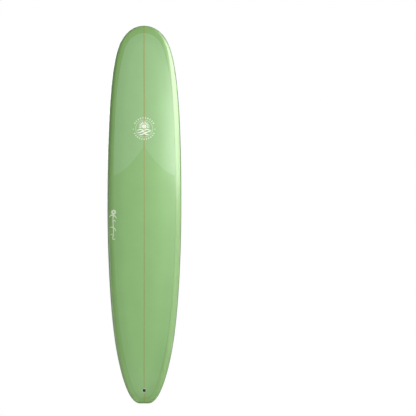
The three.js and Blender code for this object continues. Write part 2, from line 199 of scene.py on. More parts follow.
def on_face(face, x, z, inset):
    """Points on the flat of a face, moved in along the normal."""
    e = MM
    slope_x = (face_y(face, x + e, z) - face_y(face, x - e, z)) / (2 * e)
    slope_z = (face_y(face, x, z + e) - face_y(face, x, z - e)) / (2 * e)
    normal = np.stack([-slope_x, np.ones_like(slope_x), -slope_z], axis=1) * OUT[face]
    normal /= np.linalg.norm(normal, axis=1)[:, None]
    return np.stack([x, face_y(face, x, z), z], axis=1) - normal * inset


def face_ring(face, step, inset):
    """A ring of points on the flat of a face, a step in from the outline."""
    x, z = outline[:, 0] + outline[:, 2] * step, outline[:, 1] + outline[:, 3] * step
    return on_face(face, x, z, inset)


print("rail reach on the deck:", rail_spot("deck")[2].min().round(4), rail_spot("deck")[2].max())

# %% [markdown]
# ## Small tools for the bench
#
# Loading leaves the CAD nodes selected, and operators act on whatever is selected. So one
# helper makes a piece the only selected one. Others open it for editing, apply a modifier at
# once or seat it in the board, and the last hands a finished piece over with its body, its
# material slot and the CAD nodes that it stands for.

# %% Helpers for selecting and editing
def pick(piece):
    """Only this piece is selected and active."""
    bpy.ops.object.select_all(action="DESELECT")
    piece.select_set(True)
    bpy.context.view_layer.objects.active = piece
    return piece


def edit(piece, kind):
    """Opens a piece for editing its vertices, edges or faces."""
    pick(piece)
    bpy.ops.object.mode_set(mode="EDIT")
    bpy.ops.mesh.select_mode(type=kind)


def close_up(piece):
    """Turns every face outwards and leaves edit mode."""
    bpy.ops.mesh.select_all(action="SELECT")
    bpy.ops.mesh.normals_make_consistent(inside=False)
    bpy.ops.object.mode_set(mode="OBJECT")
    return piece


def started(name):
    """Names the primitive that was just added and leaves it alone in the selection."""
    piece = bpy.context.object
    piece.name = piece.data.name = name
    return pick(piece)


bpy.ops.object.select_all(action="DESELECT")
print("selected now:", len(bpy.context.selected_objects))

# %% Helpers for shaping and handing over
def apply(piece, kind, **settings):
    """Adds one modifier and applies it."""
    pick(piece)
    modifier = piece.modifiers.new(kind.title(), kind)
    for key, value in settings.items():
        setattr(modifier, key, value)
    bpy.ops.object.modifier_apply(modifier=modifier.name)
    return piece


def settle(piece, sharp=35):
    """Puts the piece's place into its mesh and shades it smooth up to an angle."""
    pick(piece)
    bpy.ops.object.transform_apply(location=True, rotation=True, scale=True)
    bpy.ops.object.shade_smooth_by_angle(angle=math.radians(sharp))
    return piece


def seat(piece, place, sharp=35):
    """Moves a fitting from its own frame to its place in the board."""
    piece.matrix_world = place
    return settle(piece, sharp)


def hand_over(piece, material, slot, *nodes):
    """Gives a finished piece its material, its body and the CAD nodes it stands for."""
    piece.data.materials.clear()
    piece.data.materials.append(material)
    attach(piece, "root")
    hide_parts(*nodes)
    print(piece.name, "faces:", len(piece.data.polygons), "stands for", nodes)
    return piece


print("pieces ride the body:", "root")

# %% [markdown]
# ## A sheet of glass on the outline
#
# A plain grid is the start of each glass job. Its edge is laid on a ring of spots and its
# inside is spread over the face, then the edge is extruded ring by ring round the rail, as a
# glasser pulls the cloth round. A grid keeps four-sided faces everywhere and has no pole, so
# the gloss stays even right up to the nose.

# %% Grid over one face
def edge_spot(row, column):
    """The spot at a place on the grid's edge. Row 0 is at the nose, column 0 on the left."""
    if row == 0:
        return (column - CORNER) % SPOTS
    if row == SIDE:
        return CORNER + SIDE + COLUMNS - column
    return SPOTS - CORNER - row if column == 0 else CORNER + row


def spread_grid(face, ring, inset):
    """Places for every grid vertex: the ring at its edge, and the face inside."""
    places = np.zeros((SIDE + 1, COLUMNS + 1, 3))
    v = np.arange(SIDE + 1)[:, None] / SIDE
    u = np.arange(COLUMNS + 1)[None, :] / COLUMNS
    left = ring[[edge_spot(row, 0) for row in range(SIDE + 1)]]
    right = ring[[edge_spot(row, COLUMNS) for row in range(SIDE + 1)]]
    nose = ring[[edge_spot(0, column) for column in range(COLUMNS + 1)], 2]
    tail = ring[[edge_spot(SIDE, column) for column in range(COLUMNS + 1)], 2]
    x = left[:, :1] * (1 - u) + right[:, :1] * u
    bow = (nose - nose[0])[None, :] * (1 - v) ** 3 + (tail - tail[0])[None, :] * v**3
    z = left[:, 2:] + bow
    places[:] = on_face(face, x.ravel(), z.ravel(), inset).reshape(places.shape)
    for row in range(SIDE + 1):
        for column in range(COLUMNS + 1):
            if row in (0, SIDE) or column in (0, COLUMNS):
                places[row, column] = ring[edge_spot(row, column)]
    return places


print("grid:", SIDE, "by", COLUMNS, "with spot", edge_spot(0, 0), "at its first corner")

# %% Start a sheet on a face
def start_sheet(name, face, ring, inset):
    """A grid primitive laid on a face. Each edge vertex keeps the number of its spot."""
    bpy.ops.mesh.primitive_grid_add(x_subdivisions=COLUMNS, y_subdivisions=SIDE, size=2)
    piece = started(name)
    places = spread_grid(face, ring, inset)
    spot = piece.data.attributes.new("spot", "INT", "POINT")
    for i, vertex in enumerate(piece.data.vertices):
        row = SIDE - round((vertex.co.y + 1) / 2 * SIDE)
        column = round((vertex.co.x + 1) / 2 * COLUMNS)
        spot.data[i].value = edge_spot(row, column)
        vertex.co = places[row, column]
    return piece


print("a sheet starts with", SIDE * COLUMNS, "faces")

# %% [markdown]
# Extruding the open edge makes a new ring of vertices that keep their spot numbers, so each
# can be sent to its own place on the next ring.

# %% Pull the sheet round the rail
TURNS = [90, 79, 68, 57, 46, 35, 24, 12]


def select_open_edge(piece):
    """In edit mode, only the edges round the opening are selected."""
    mesh = bmesh.from_edit_mesh(piece.data)
    for edge in mesh.edges:
        edge.select_set(False)
    for edge in mesh.edges:
        if edge.is_boundary:
            edge.select_set(True)
    bmesh.update_edit_mesh(piece.data)


def pull_round(piece, rings):
    """Extrudes the sheet's open edge once for each ring."""
    edit(piece, "EDGE")
    for ring in rings:
        select_open_edge(piece)
        bpy.ops.mesh.extrude_edges_move()
        mesh = bmesh.from_edit_mesh(piece.data)
        spot = mesh.verts.layers.int["spot"]
        for vertex in mesh.verts:
            if vertex.select:
                vertex.co = ring[vertex[spot]]
        bmesh.update_edit_mesh(piece.data)
    return close_up(piece)


def round_rail(near, far, inset):
    """Rings from the edge of one face, round the rail, to the edge of the other."""
    rings = [rail_ring(near, turn, inset) for turn in [*TURNS, 0]]
    return rings + [rail_ring(far, turn, inset) for turn in TURNS[::-1]]


print("rings round a rail:", 2 * len(TURNS) + 1)

# %% [markdown]
# ## Deck glass
#
# The last cloth to go on covers the deck, rolls over the rail and ends in a lap on the
# bottom. It is one sheet, 0.7 mm thick once Solidify has given it a wall. The sheet could be
# lofted section by section, but sections bunch up at a round nose, and the rings do not.

# %% Deck glass sheet
GLASS, GLUE = 0.0007, 0.0003
WALL = {"thickness": GLASS, "offset": -1, "use_even_offset": True}
deck_glass = start_sheet("glassed_deck", "deck", face_ring("deck", lap, 0), 0)
pull_round(deck_glass, [*round_rail("deck", "bottom", 0), face_ring("bottom", lap, 0)])
apply(deck_glass, "SOLIDIFY", **WALL)
print("deck glass size:", [round(v, 4) for v in deck_glass.dimensions])

# %% [markdown]
# ## Bottom glass
#
# The bottom was glassed first. Its cloth is on show inside the deck's lap, then steps down one
# layer and runs on under the deck glass, round the rail, to its own lap line on the deck.

# %% Bottom glass sheet
UNDER = GLASS + GLUE
STEP_FROM, STEP_OVER = 0.0004, 0.0012
bottom_glass = start_sheet("glassed_bottom", "bottom", face_ring("bottom", lap + STEP_FROM, 0), 0)
step_down = face_ring("bottom", lap - STEP_OVER, UNDER)
lap_line = face_ring("deck", lap, UNDER)
pull_round(bottom_glass, [step_down, *round_rail("bottom", "deck", UNDER), lap_line])
apply(bottom_glass, "SOLIDIFY", **WALL)
print("bottom glass size:", [round(v, 4) for v in bottom_glass.dimensions])

# %% [markdown]
# ## Where the fin box and the leash cup go
#
# The fin box is sunk square to the bottom, which slopes there because of the tail's rocker.
# A matrix turns the box's own frame (across, along, out) into the board's. The leash cup sits
# square to the board, so it only needs a point.

# %% Places of the fittings
FIN_Z, FIN_SUNK = -1.204, 0.0008
fin_slope = 2 * TAIL_ROCKER * (-FIN_Z - FLAT) / (HALF - FLAT) ** 2
fin_tilt = math.atan(fin_slope)
fin_out = Vector((0, math.cos(fin_tilt), -math.sin(fin_tilt)))
fin_along = Vector((0, math.sin(fin_tilt), math.cos(fin_tilt)))
fin_origin = Vector((0, float(-rocker(FIN_Z)) - FIN_SUNK, FIN_Z))
fin_place = Matrix.Translation(fin_origin) @ Matrix(
    [[-1, 0, 0, 0], [0, fin_along.y, fin_out.y, 0], [0, fin_along.z, fin_out.z, 0], [0, 0, 0, 1]]
)
PLUG_Z, PLUG_SUNK = -1.347, 0.0002
plug_point = Vector((0, float(face_y("deck", np.array(0.0), np.array(PLUG_Z))) + PLUG_SUNK, PLUG_Z))
print("fin box at", fin_origin, "tilt", round(math.degrees(fin_tilt), 3), "leash cup at", plug_point)

# %% [markdown]
# ## Rounded blocks and turned rings
#
# Two starts serve all the fittings. A cube whose four upright edges are bevelled makes a block
# with rounded ends. A circle whose edge is extruded and resized ring by ring makes a turned
# piece, as on a lathe.

# %% Rounded block
def upright(edge):
    a, b = edge.verts
    return abs(a.co.z - b.co.z) > 0.5 * (a.co - b.co).length and (a.co - b.co).length > 0


def rounded_block(name, width, length, radius, top, bottom, segments=10):
    """A block in the fitting's own frame, with its four upright edges rounded."""
    bpy.ops.mesh.primitive_cube_add(size=1, location=(0, 0, (top + bottom) / 2))
    piece = started(name)
    piece.scale = (width, length, top - bottom)
    bpy.ops.object.transform_apply(location=True, rotation=True, scale=True)
    edit(piece, "EDGE")
    bpy.ops.mesh.select_all(action="DESELECT")
    mesh = bmesh.from_edit_mesh(piece.data)
    for edge in mesh.edges:
        edge.select_set(upright(edge))
    bmesh.update_edit_mesh(piece.data)
    bpy.ops.mesh.bevel(offset=radius, segments=segments, affect="EDGES", clamp_overlap=False)
    bpy.ops.object.mode_set(mode="OBJECT")
    return piece


print("block helper ready")

# %% Turned piece
def turned(name, profile, segments=64):
    """A turned piece about Z from (radius, height) pairs. The ends are closed by a face."""
    radius, height = profile[0]
    bpy.ops.mesh.primitive_circle_add(
        vertices=segments, radius=radius, location=(0, 0, height), fill_type="NGON"
    )
    piece = started(name)
    bpy.ops.object.transform_apply(location=True)
    edit(piece, "EDGE")
    for (old, low), (new, high) in zip(profile, profile[1:]):
        select_open_edge(piece)
        bpy.ops.mesh.extrude_edges_move()
        bpy.ops.transform.resize(value=(new / old, new / old, 1), center_override=(0, 0, 0))
        bpy.ops.transform.translate(value=(0, 0, high - low))
    select_open_edge(piece)
    bpy.ops.mesh.edge_face_add()
    return close_up(piece)


print("lathe helper ready")

# %% [markdown]
# ## Routing the glass
#
# The pockets are cut with Boolean modifiers, as a router would after glassing. The cutters are
# a hair larger than the resin beds that will fill the pockets, and they are thrown away.

# %% Cut the two pockets
FIT, CUT_ABOVE, CUT_BELOW = 0.0003, 0.02, 0.012
FIN_BED = {"width": 0.048, "length": 0.290, "radius": 0.016}
PLUG_BED_RADIUS = 0.019
PLUG_FACE = Matrix.Translation(plug_point) @ Matrix.Rotation(math.radians(90), 4, "X")


def grown(sizes):
    """A block's sizes with a working gap all round."""
    return {key: value + (FIT if key == "radius" else 2 * FIT) for key, value in sizes.items()}


def route(sheet, cutter):
    """Cuts a pocket through a sheet and removes the cutter."""
    apply(sheet, "BOOLEAN", operation="DIFFERENCE", solver="EXACT", object=cutter)
    bpy.data.objects.remove(cutter)


fin_cutter = rounded_block("fin_cutter", top=CUT_ABOVE, bottom=-CUT_BELOW, **grown(FIN_BED))
route(bottom_glass, seat(fin_cutter, fin_place))
plug_hole = PLUG_BED_RADIUS + FIT
plug_cutter = turned("plug_cutter", [(plug_hole, -CUT_BELOW), (plug_hole, CUT_ABOVE)])
route(deck_glass, seat(plug_cutter, PLUG_FACE))
print("deck faces:", len(deck_glass.data.polygons), "bottom faces:", len(bottom_glass.data.polygons))

# %% [markdown]
# ## Fin box
#
# The long box is moulded in black plastic: a block with round ends, a thin raised rim, a slot
# for the fin, a wider groove under the lips where the fin's cross pin slides, and a square
# gate in the middle where the pin's plate drops in. Insets and extrusions of the top face make
# all of it in one go, and the gate is cut last.

# %% Fin box sizes, and two moves on its top
FIN_BOX = {"width": 0.027, "length": 0.2667, "radius": 0.011}
BOX_DEEP, RIM, RIM_STEP = 0.022, 0.0024, 0.0004
SLOT_WIDE, SLOT_LONG, LIP_DEEP = 0.0096, 0.238, 0.006
GROOVE_WIDE, GROOVE_HIGH, SLOT_DEEP = 0.016, 0.0064, 0.0175
GATE, GATE_CORNER, GATE_TOP = 0.013, 0.001, 0.01
EASED, LEVEL = 0.0004, 0.0002


def pick_top(piece, height):
    """In edit mode, only the upward faces at a height are selected."""
    mesh = bmesh.from_edit_mesh(piece.data)
    for face in mesh.faces:
        level = abs(face.calc_center_median().z - height) < LEVEL
        face.select_set(level and face.normal.z > 0.9)
    bmesh.update_edit_mesh(piece.data)


def sink(depth, wide=1.0, long=1.0):
    """Extrudes the selected face inwards by a depth, then resizes it where it lies."""
    bpy.ops.mesh.extrude_region_move(TRANSFORM_OT_translate={"value": (0, 0, -depth)})
    if (wide, long) != (1.0, 1.0):
        bpy.ops.transform.resize(value=(wide, long, 1), center_override=(0, 0, 0))


print("slot under the lips:", round(SLOT_DEEP - LIP_DEEP, 4), "deep")

# %% Fin box moulding
fin_box = rounded_block("fin_box_moulding", top=0, bottom=-BOX_DEEP, segments=12, **FIN_BOX)
edit(fin_box, "FACE")
bpy.ops.mesh.select_all(action="DESELECT")
pick_top(fin_box, 0)
bpy.ops.mesh.inset(thickness=RIM)
sink(RIM_STEP)
bpy.ops.mesh.inset(thickness=(FIN_BOX["width"] - SLOT_WIDE) / 2 - RIM)
slot_now = FIN_BOX["length"] - (FIN_BOX["width"] - SLOT_WIDE)
bpy.ops.transform.resize(value=(1, SLOT_LONG / slot_now, 1), center_override=(0, 0, 0))
sink(LIP_DEEP - RIM_STEP)
sink(0, wide=GROOVE_WIDE / SLOT_WIDE)
sink(GROOVE_HIGH)
sink(0, wide=SLOT_WIDE / GROOVE_WIDE)
sink(SLOT_DEEP - LIP_DEEP - GROOVE_HIGH)
bpy.ops.object.mode_set(mode="OBJECT")
apply(fin_box, "BEVEL", width=EASED, segments=2, limit_method="ANGLE", angle_limit=math.radians(40))

gate_floor = -LIP_DEEP - MM
gate = rounded_block("gate_cutter", GATE, GATE, GATE_CORNER, GATE_TOP, gate_floor, segments=3)
route(fin_box, gate)
seat(fin_box, fin_place, sharp=32)
print("fin box faces:", len(fin_box.data.polygons))

# %% [markdown]
# ## Resin beds
#
# The fin box and the leash cup are set in routed pockets, in a ring of paler resin that is
# sanded flush with the glass. Each bed is a block or a disc with its middle cut out, sliced a
# few times so that its top can follow the curve of the board, and then its top is laid on the
# surface.

# %% Laying a bed flush
BED_DEEP, FIN_BED_TOP, BED_SLICES = 0.004, 0.006, 14
FIN_TOP_ZONE, CUP_TOP_ZONE = 0.007, 0.0018


def lay_flush(piece, face, zone):
    """Moves the vertices in a zone about the board's face onto it."""
    for vertex in piece.data.vertices:
        x, y, z = vertex.co
        surface = float(face_y(face, np.array(x), np.array(z)))
        if abs(y - surface) < zone:
            vertex.co.y = surface


def mark_edge(piece, distance_in, width):
    """Writes from_edge: 0 at the bed's outer edge, 1 at its inner edge."""
    values = [min(max(distance_in(v.co) / width, 0), 1) for v in piece.data.vertices]
    attribute = piece.data.attributes.new("from_edge", "FLOAT", "POINT")
    attribute.data.foreach_set("value", np.array(values, np.float32))


print("beds are", BED_DEEP, "deep")

# %% Fin box bed
fin_bed = rounded_block(
    "fin_box_resin", top=FIN_BED_TOP, bottom=-BED_DEEP, segments=12, **FIN_BED
)
hole = rounded_block("hole", top=CUT_ABOVE, bottom=-CUT_ABOVE, segments=12, **grown(FIN_BOX))
route(fin_bed, hole)
edit(fin_bed, "EDGE")
for i in range(1, BED_SLICES):
    bpy.ops.mesh.select_all(action="SELECT")
    y = FIN_BED["length"] * (i / BED_SLICES - 0.5)
    bpy.ops.mesh.bisect(plane_co=(0, y, 0), plane_no=(0, 1, 0))
bpy.ops.object.mode_set(mode="OBJECT")
seat(fin_bed, fin_place)
lay_flush(fin_bed, "bottom", FIN_TOP_ZONE)
half_bed = FIN_BED["width"] / 2


def fin_bed_edge(point):
    along = (Vector(point) - fin_origin).dot(fin_along)
    straight = FIN_BED["length"] / 2 - half_bed
    return half_bed - math.hypot(point[0], max(abs(along) - straight, 0))


mark_edge(fin_bed, fin_bed_edge, (FIN_BED["width"] - FIN_BOX["width"]) / 2)
print("fin bed faces:", len(fin_bed.data.polygons))

# %% [markdown]
# ## Leash cup
#
# A cup with a lip is turned in plastic, and a steel bar crosses its mouth for the leash's cord. Inside its
# bowl the plastic is painted near black, as a painted shade of the hollow. The circle's edge goes down the
# outside, up over the lip and down the bowl, so the cup is one closed shell.

# %% Leash cup
CUP = [(7, -17), (11, -12), (13, -6), (13, -2.2), (14.1, -2.2), (14.5, -1.8), (14.5, -0.4)]
CUP += [(14.1, 0), (12.2, 0), (11.6, -0.2), (11.2, -0.8), (11, -5), (9, -11), (5, -14.5)]
cup = turned("leash_cup", [(r * MM, h * MM) for r, h in CUP])
seat(cup, PLUG_FACE, sharp=40)
print("cup faces:", len(cup.data.polygons))

# %% Bar across the cup
BAR_RADIUS, BAR_LONG, BAR_UNDER = 0.002, 0.025, 0.006
bpy.ops.mesh.primitive_cylinder_add(vertices=32, radius=BAR_RADIUS, depth=BAR_LONG)
bar = started("leash_cup_bar")
apply(bar, "BEVEL", width=EASED, segments=3, limit_method="ANGLE", angle_limit=math.radians(60))
turn_across = Matrix.Rotation(math.radians(90), 4, "Y")
seat(bar, PLUG_FACE @ Matrix.Translation((0, 0, -BAR_UNDER)) @ turn_across)
print("bar length:", round(bar.dimensions.x, 4))

# %% Leash cup bed
CUP_ROOM = [(11.3, -12.3), (13.3, -6.3), (13.3, -2.5), (14.8, -2.5), (14.8, 10)]
CUP_RADIUS = 0.0145


def cup_bed_edge(point):
    return PLUG_BED_RADIUS - math.hypot(point[0], point[2] - PLUG_Z)


cup_bed = turned("leash_cup_resin", [(PLUG_BED_RADIUS, -BED_DEEP), (PLUG_BED_RADIUS, MM)])
route(cup_bed, turned("cup_room", [(r * MM, h * MM) for r, h in CUP_ROOM]))
seat(cup_bed, PLUG_FACE)
lay_flush(cup_bed, "deck", CUP_TOP_ZONE)
mark_edge(cup_bed, cup_bed_edge, PLUG_BED_RADIUS - CUP_RADIUS)
print("cup bed faces:", len(cup_bed.data.polygons))

# %% [markdown]
# ## Marks on the mesh for the resin's pattern
#
# The resin's colour follows the laps and the run of the cloth, which object coordinates
# cannot give. Two attributes store them on each vertex: how far inside the lap line it lies,
# and where on the flat cloth it was before the cloth was pulled round the rail.

# %% Lap and cloth attributes
EDGE_STEPS, RAIL_HALF = 8, 0.03


def along_outline(values):
    """Values at every spot and at steps between the spots."""
    gap = np.roll(values, -1, axis=0) - values
    return np.concatenate([values + gap * k / EDGE_STEPS for k in range(EDGE_STEPS)])


edge_points, edge_lap = along_outline(outline[:, :2]), along_outline(lap)


def mark_cloth(piece):
    """Writes lap_band (metres inside the lap line) and cloth (flat position) on each vertex."""
    count = len(piece.data.vertices)
    flat = np.zeros(count * 3, np.float32)
    piece.data.vertices.foreach_get("co", flat)
    place = flat.reshape(-1, 3).astype(float)
    apart = np.hypot(
        place[:, None, 0] - edge_points[None, :, 0], place[:, None, 2] - edge_points[None, :, 1]
    )
    nearest = apart.argmin(axis=1)
    band = edge_lap[nearest] - apart[np.arange(count), nearest]
    piece.data.attributes.new("lap_band", "FLOAT", "POINT").data.foreach_set("value", band)
    middle = face_y("deck", place[:, 0], place[:, 2]) / 2 + face_y("bottom", 0, place[:, 2]) / 2
    rolled = np.sign(place[:, 0]) * np.maximum(RAIL_HALF - np.abs(place[:, 1] - middle), 0)
    cloth = np.stack([place[:, 0] + rolled, np.zeros(count), place[:, 2]], axis=1)
    attribute = piece.data.attributes.new("cloth", "FLOAT_VECTOR", "POINT")
    attribute.data.foreach_set("vector", cloth.astype(np.float32).ravel())
    print(piece.name, "lap band from", band.min().round(3), "to", band.max().round(3))


for glass in (deck_glass, bottom_glass):
    settle(glass, sharp=22)
    mark_cloth(glass)

# %% [markdown]
# ## Building materials from small nodes
#
# Every finish here is a node tree. Short helpers keep the trees readable: one adds a node and
# links or sets its inputs, some do arithmetic or mix colours, one turns a painter's 0 to 255
# colour into the linear values that light is reckoned in, and the last two start a material
# and link what it needs to its shader.

# %% Node helpers
def wire(tree, kind, inputs=None, **settings):
    """Adds a node. Inputs may be plain values or other nodes' outputs."""
    made = tree.nodes.new("ShaderNode" + kind)
    for key, value in settings.items():
        setattr(made, key, value)
    for key, value in (inputs or {}).items():
        if isinstance(value, bpy.types.NodeSocket):
            tree.links.new(value, made.inputs[key])
        else:
            made.inputs[key].default_value = value
    return made


def reckon(tree, operation, *values):
    """A Math node's output."""
    return wire(tree, "Math", dict(enumerate(values)), operation=operation).outputs[0]


def ramp(tree, value, low, high, to_low=0.0, to_high=1.0):
    """A smooth step from one value to another."""
    inputs = {"Value": value, "From Min": low, "From Max": high}
    inputs |= {"To Min": to_low, "To Max": to_high}
    return wire(tree, "MapRange", inputs, interpolation_type="SMOOTHSTEP").outputs["Result"]


def blend(tree, factor, a, b, mode="MIX"):
    """A colour mix's output."""
    inputs = {"Factor": factor, 6: a, 7: b}
    return wire(tree, "Mix", inputs, data_type="RGBA", blend_type=mode).outputs[2]


print("first node helpers ready")

# %% Colour and pattern helpers
def tinted(tree, a, b):
    """One colour seen through another."""
    return blend(tree, 1.0, a, b, "MULTIPLY")


def grey(tree, value):
    return wire(tree, "CombineColor", dict.fromkeys(range(3), value)).outputs[0]


def noise(tree, point, scale, detail):
    return wire(tree, "TexNoise", {"Vector": point, "Scale": scale, "Detail": detail}).outputs[0]


def streaks(tree, point, scales, detail):
    """Noise drawn out along the axis that has the smallest scale."""
    drawn_out = wire(tree, "Mapping", {"Vector": point, "Scale": scales}).outputs[0]
    return noise(tree, drawn_out, 1.0, detail)


def hypotenuse(tree, a, b):
    return reckon(tree, "SQRT", reckon(tree, "MULTIPLY_ADD", a, a, reckon(tree, "MULTIPLY", b, b)))


def paint(red, green, blue):
    """An sRGB colour, 0 to 255, as linear RGBA."""

    def linear(c):
        c /= 255
        return c / 12.92 if c <= 0.04045 else ((c + 0.055) / 1.055) ** 2.4

    return (linear(red), linear(green), linear(blue), 1)


print("mid grey in linear light:", round(paint(128, 128, 128)[0], 3))

# %% Start a material and link what it needs
def own_point(tree):
    """The surface point in the object's own frame, which is the board's for every piece."""
    return wire(tree, "TexCoord").outputs["Object"]


def parts(tree, vector):
    """A vector's x, y and z."""
    return wire(tree, "SeparateXYZ", {0: vector}).outputs


def socket_name(word):
    return word.replace("_", " ").title().replace("Ior", "IOR")


def finish(name, roughness, **constants):
    """A new material and its tree. Plain values go on the shader's own sockets."""
    material = bpy.data.materials.new(name)
    material.use_nodes = True
    shader = material.node_tree.nodes["Principled BSDF"]
    for key, value in {"roughness": roughness, **constants}.items():
        shader.inputs[socket_name(key)].default_value = value
    return material, material.node_tree


def dress(material, colour, height, distance=1.0, **others):
    """Links a colour, a bump height and any other outputs to the shader."""
    tree = material.node_tree
    bump = wire(tree, "Bump", {"Height": height, "Distance": distance, "Strength": 1.0}).outputs[0]
    for key, output in {"base_color": colour, "normal": bump, **others}.items():
        tree.links.new(output, tree.nodes["Principled BSDF"].inputs[socket_name(key)])
    return material


print("sockets are named like", socket_name("coat_ior"))

# %% [markdown]
# ## One group for tinted resin over cloth
#
# Both glass jobs, the patches under them and the resin beds share a look: green pigment that gathers a
# little unevenly, a painted shade that darkens the resin towards the lap line and over the rails, the
# faint pattern of woven cloth, darker bands where the cloth lies double, a thin dark line where a cut edge
# has soaked up resin, and the stringer's wood showing through between two bright glue lines. It is one
# node group, and each material feeds it its own tint and masks.

# %% Tones and scales of the resin
LAP_TONE, DARK_LINE_AND_SHADOW_TONE, LAP_SIDE_SHADE = (0.80, 0.86, 0.63, 1), paint(92, 134, 70), 0.91
GLUE_TONE, TAIL_WOOD = paint(128, 190, 120), (0.80, 0.97, 1.0, 1)
WOOD_DARK, WOOD_LIGHT = paint(158, 128, 70), paint(182, 150, 92)
CLOUD, GRIT, SWELL, WEAVE, GRAIN = 7.0, 160.0, 16.0, 2600.0, (900.0, 900.0, 14.0)
CUT_LINE, GLUE_LINE, WOOD_LINE = (0.0006, 0.0022), (0.0055, 0.0085), (0.0026, 0.0034)
print("half width of the stringer's line:", WOOD_LINE)

# %% The tinted resin group
def sockets(group, direction, **kinds):
    for name, kind in kinds.items():
        group.interface.new_socket(
            name=name.replace("_", " "), in_out=direction, socket_type="NodeSocket" + kind
        )


def make_resin_group():
    group = bpy.data.node_groups.new("tinted_resin", "ShaderNodeTree")
    sockets(group, "INPUT", Point="Vector", Cloth="Vector", Tint="Color", Patch_Tone="Color")
    sockets(group, "INPUT", Lap_Band="Float", Patch_Band="Float", Stringer="Float")
    sockets(group, "OUTPUT", Colour="Color", Height="Float", Patch="Float")
    given = group.nodes.new("NodeGroupInput").outputs
    result = group.nodes.new("NodeGroupOutput").inputs
    point, lap_band, patch_band = given["Point"], given["Lap Band"], given["Patch Band"]
    x, _, z = parts(group, point)

    grit = noise(group, point, GRIT, 2.0)
    weave = parts(group, given["Cloth"])
    threads = [reckon(group, "SINE", reckon(group, "MULTIPLY", weave[i], WEAVE)) for i in (0, 2)]
    value = reckon(group, "MULTIPLY_ADD", noise(group, point, CLOUD, 3.0), 0.10, 0.93)
    value = reckon(group, "MULTIPLY_ADD", grit, 0.04, value)
    value = reckon(group, "MULTIPLY_ADD", reckon(group, "MULTIPLY", *threads), 0.008, value)
    # Painted shade: the colour darkens over the last 10 cm inside the lap line and stays darker over the
    # laps and rails. It stands in for the shade that falls off towards the rails.
    value = reckon(group, "MULTIPLY", value, ramp(group, lap_band, -0.10, 0.0, 1.0, LAP_SIDE_SHADE))
    colour = tinted(group, given["Tint"], grey(group, value))

    lap_on = ramp(group, lap_band, -0.0006, 0.0006)
    patch_on = ramp(group, patch_band, -0.0012, 0.0012)
    colour = blend(group, patch_on, colour, tinted(group, colour, given["Patch Tone"]))
    lines = [
        ramp(group, reckon(group, "ABSOLUTE", band), *CUT_LINE, dark, 0.0)
        for band, dark in ((lap_band, 0.30), (patch_band, 0.12))
    ]
    colour = blend(group, reckon(group, "MAXIMUM", *lines), colour, DARK_LINE_AND_SHADOW_TONE)

    wood = blend(group, ramp(group, streaks(group, point, GRAIN, 3.0), 0.35, 0.65), WOOD_DARK, WOOD_LIGHT)
    wood = blend(group, ramp(group, z, -0.3, 0.7), tinted(group, wood, TAIL_WOOD), wood)
    off = reckon(group, "ABSOLUTE", x)
    for line, strength, tone in ((GLUE_LINE, 0.55, GLUE_TONE), (WOOD_LINE, 1.0, wood)):
        shown = reckon(group, "MULTIPLY", ramp(group, off, *line, strength, 0.0), given["Stringer"])
        colour = blend(group, shown, colour, tone)
    colour = blend(group, lap_on, colour, tinted(group, colour, LAP_TONE))

    height = reckon(group, "MULTIPLY", noise(group, point, SWELL, 1.0), 0.00012)
    for mask, rise in ((lap_on, 0.00025), (patch_on, 0.00018), (grit, 0.000004)):
        height = reckon(group, "MULTIPLY_ADD", mask, rise, height)
    for name, output in {"Colour": colour, "Height": height, "Patch": patch_on}.items():
        group.links.new(output, result[name])
    return group


resin_group = make_resin_group()
print("resin group nodes:", len(resin_group.nodes))

# %% [markdown]
# ## Gloss over green: the two glass jobs
#
# The finish coat is clear polished resin, so the shader's coat does the gloss and the base
# under it is duller. The deck's patch is a pointed arch with hollow flanks, and the fin patch
# a shallow notch, and each is a little formula on x and z. The patch was sanded more than the
# rest, so its coat is a little weaker.

# %% Outlines of the two patches
ARCH_HALF, ARCH_POWER, ARCH_RISE, ARCH_FOOT = 0.240, 1.55, 0.224, 0.300
NOTCH_SLOPE, NOTCH_Z = 0.58, -0.985


def arch_band(tree, x, z):
    """Metres below the deck patch's front edge."""
    share = reckon(tree, "DIVIDE", reckon(tree, "ABSOLUTE", x), ARCH_HALF)
    left = reckon(tree, "MAXIMUM", reckon(tree, "SUBTRACT", 1.0, share), 0.0)
    bow = reckon(tree, "POWER", left, ARCH_POWER)
    return reckon(tree, "SUBTRACT", reckon(tree, "MULTIPLY_ADD", bow, ARCH_RISE, ARCH_FOOT), z)


def notch_band(tree, x, z):
    """Metres below the fin patch's front edge."""
    edge = reckon(tree, "MULTIPLY_ADD", reckon(tree, "ABSOLUTE", x), NOTCH_SLOPE, NOTCH_Z)
    return reckon(tree, "SUBTRACT", edge, z)


print("deck patch's tip at", ARCH_FOOT + ARCH_RISE, "fin patch's notch at", NOTCH_Z)

# %% Deck and bottom glass materials
DECK_GREEN, BOTTOM_GREEN = paint(148, 189, 131), paint(147, 190, 127)
DECK_PATCH_TONE, FIN_PATCH_TONE = (0.87, 0.92, 0.80, 1), (0.81, 0.87, 0.76, 1)
EDGE_ON_COAT, EDGE_ON_SHADE_TINT = 0.30, (0.72, 0.74, 0.66, 1)
GLOSS = {"coat_weight": 1.0, "coat_ior": 1.52}


def feed_resin(tree, **inputs):
    """Places the shared resin group and gives it its inputs."""
    inputs = {key.replace("_", " "): value for key, value in inputs.items()}
    return wire(tree, "Group", inputs, node_tree=resin_group).outputs


